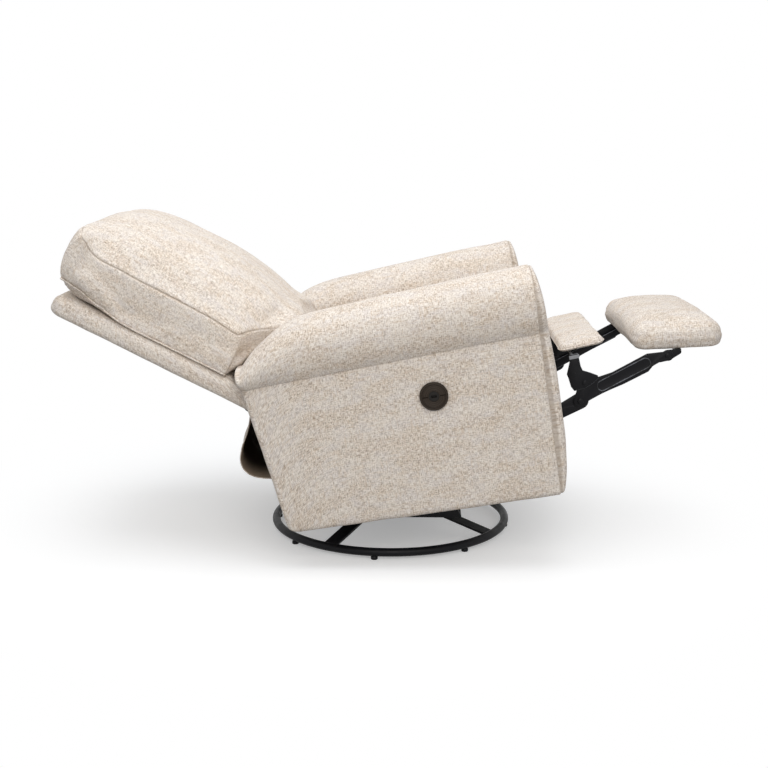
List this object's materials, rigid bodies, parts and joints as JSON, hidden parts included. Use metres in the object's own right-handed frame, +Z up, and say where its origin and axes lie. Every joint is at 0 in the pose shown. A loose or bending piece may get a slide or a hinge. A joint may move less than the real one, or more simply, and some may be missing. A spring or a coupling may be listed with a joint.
{
  "type": "swivel glider recliner",
  "caption": "Upholstered power recliner on a swivel glider base, shown fully reclined with the footrest out.",
  "frame": {"origin": "on the floor, on the swivel axis, which is the middle of the reclined length", "axes": "+X the sitter's forward, +Y the sitter's left, +Z up"},
  "size_m": [1.6756, 0.856, 0.8666],
  "materials": {
    "black_steel": "black powder coat, satin",
    "bright_steel": "zinc plated, satin",
    "timber": "planed hardwood",
    "control_bronze": "dark bronze, satin",
    "dark_plastic": "moulded, matt",
    "upholstery": "oatmeal chenille weave with tan flecks"
  },
  "bodies": {
    "base": {"base_ring": "black_steel", "base_bar_1": "black_steel", "base_bar_2": "black_steel", "base_bar_3": "black_steel", "base_bar_4": "black_steel", "lower_race": "black_steel"},
    "cage": {"ball_cage": "bright_steel"},
    "turntable": {"swivel_plate": "black_steel", "glide_stand_left": "black_steel", "glide_stand_right": "black_steel"},
    "glide_front": {"glide_link_front_left": "black_steel", "glide_link_front_right": "black_steel"},
    "glide_rear": {"glide_link_rear_left": "black_steel", "glide_link_rear_right": "black_steel"},
    "carriage": {"glide_carriage": "black_steel"},
    "chassis": {"arm_roll_left": "upholstery", "arm_roll_right": "upholstery", "side_panel_left": "upholstery", "side_panel_right": "upholstery", "inner_panel_left": "upholstery", "inner_panel_right": "upholstery", "front_panel_left": "upholstery", "front_panel_right": "upholstery", "seat_rail_left": "timber", "seat_rail_right": "timber", "mechanism_rail_left": "black_steel", "mechanism_rail_right": "black_steel", "switch_bezel": "control_bronze", "usb_port": "dark_plastic", "seat_rail_front": "timber", "seat_rail_rear": "timber", "low_rear_rail": "timber", "seat_spring_1": "bright_steel", "seat_spring_2": "bright_steel", "seat_spring_3": "bright_steel", "seat_cushion": "upholstery", "rear_flap": "upholstery", "motor_housing": "dark_plastic", "actuator_tube": "bright_steel"},
    "drive_rod": {"actuator_rod": "bright_steel"},
    "back": {"back_shell": "upholstery", "back_cushion": "upholstery", "recline_bracket_left": "black_steel", "recline_bracket_right": "black_steel"},
    "foot_inner": {"inner_link_left": "black_steel", "inner_link_right": "black_steel", "torque_tube": "black_steel"},
    "foot_outer": {"outer_link_left": "black_steel", "outer_link_right": "black_steel"},
    "foot_outer_second": {"rear_outer_link_left": "black_steel", "rear_outer_link_right": "black_steel"},
    "footrest": {"footrest_frame": "black_steel", "footrest_pad": "upholstery"},
    "flipper": {"flipper_frame": "black_steel", "flipper_pad": "upholstery"},
    "recline_button": {"button_recline": "control_bronze"},
    "close_button": {"button_close": "control_bronze"}
  },
  "joints": [
    {"name": "swivel_turn", "type": "hinge", "parent": "base", "child": "turntable", "pos_m": [0, 0, 0.08], "axis": [0, 0, 1], "continuous": true},
    {"name": "cage_turn", "type": "hinge", "parent": "base", "child": "cage", "pos_m": [0, 0, 0.08], "axis": [0, 0, 1], "continuous": true},
    {"name": "glide", "type": "hinge", "parent": "turntable", "child": "glide_front", "pos_m": [0.1, 0, 0.25], "axis": [0, 1, 0], "range_deg": [-18, 18]},
    {"name": "glide_rear_swing", "type": "hinge", "parent": "turntable", "child": "glide_rear", "pos_m": [-0.14, 0, 0.25], "axis": [0, 1, 0], "range_deg": [-18.05, 18.05]},
    {"name": "carriage_level", "type": "hinge", "parent": "glide_front", "child": "carriage", "pos_m": [0.1, 0, 0.12], "axis": [0, 1, 0], "range_deg": [-18.05, 18.05]},
    {"name": "seat_tilt", "type": "hinge", "parent": "carriage", "child": "chassis", "pos_m": [-0.1, 0, 0.16], "axis": [0, 1, 0], "range_deg": [0, 8.95]},
    {"name": "back_recline", "type": "hinge", "parent": "chassis", "child": "back", "pos_m": [-0.20015, 0, 0.36001], "axis": [0, 1, 0], "range_deg": [0, 39.2], "deforming": ["rear_flap"]},
    {"name": "footrest_open", "type": "hinge", "parent": "chassis", "child": "foot_inner", "pos_m": [0.27673, 0, 0.3688], "axis": [0, 1, 0], "range_deg": [0, 135.5]},
    {"name": "outer_link_turn", "type": "hinge", "parent": "foot_inner", "child": "foot_outer", "pos_m": [0.48513, 0, 0.40508], "axis": [0, 1, 0], "range_deg": [-145.75, 0]},
    {"name": "rear_outer_link_turn", "type": "hinge", "parent": "foot_inner", "child": "foot_outer_second", "pos_m": [0.47319, 0, 0.39828], "axis": [0, 1, 0], "range_deg": [-148.62, 0]},
    {"name": "footrest_turn", "type": "hinge", "parent": "foot_outer", "child": "footrest", "pos_m": [0.70008, 0, 0.52295], "axis": [0, 1, 0], "range_deg": [0, 94.85]},
    {"name": "flipper_turn", "type": "hinge", "parent": "foot_outer", "child": "flipper", "pos_m": [0.49402, 0, 0.45303], "axis": [0, 1, 0], "range_deg": [0, 90.25]},
    {"name": "drive_rod_slide", "type": "slide", "parent": "chassis", "child": "drive_rod", "axis": [0.988, 0, 0.1547], "range_m": [-0.0771, 0]},
    {"name": "recline_button_press", "type": "slide", "parent": "chassis", "child": "recline_button", "axis": [0, 1, 0], "range_m": [0, 0.0015], "stiffness_N_per_m": 300},
    {"name": "close_button_press", "type": "slide", "parent": "chassis", "child": "close_button", "axis": [0, 1, 0], "range_m": [0, 0.0015], "stiffness_N_per_m": 300}
  ],
  "couplings": [
    {"joint": "cage_turn", "follows": "swivel_turn", "ratio": 0.5},
    {"joint": "glide_rear_swing", "follows": "glide", "ratio": 1},
    {"joint": "carriage_level", "follows": "glide", "ratio": -1},
    {"joint": "seat_tilt", "follows": "back_recline", "ratio": 0.22704},
    {"joint": "outer_link_turn", "follows": "footrest_open", "ratio": -1.0753},
    {"joint": "rear_outer_link_turn", "follows": "footrest_open", "ratio": -1.0965},
    {"joint": "footrest_turn", "follows": "footrest_open", "ratio": 0.69963},
    {"joint": "flipper_turn", "follows": "footrest_open", "ratio": 0.66568},
    {"joint": "drive_rod_slide", "follows": "footrest_open", "m_per_rad": -0.032559}
  ]
}
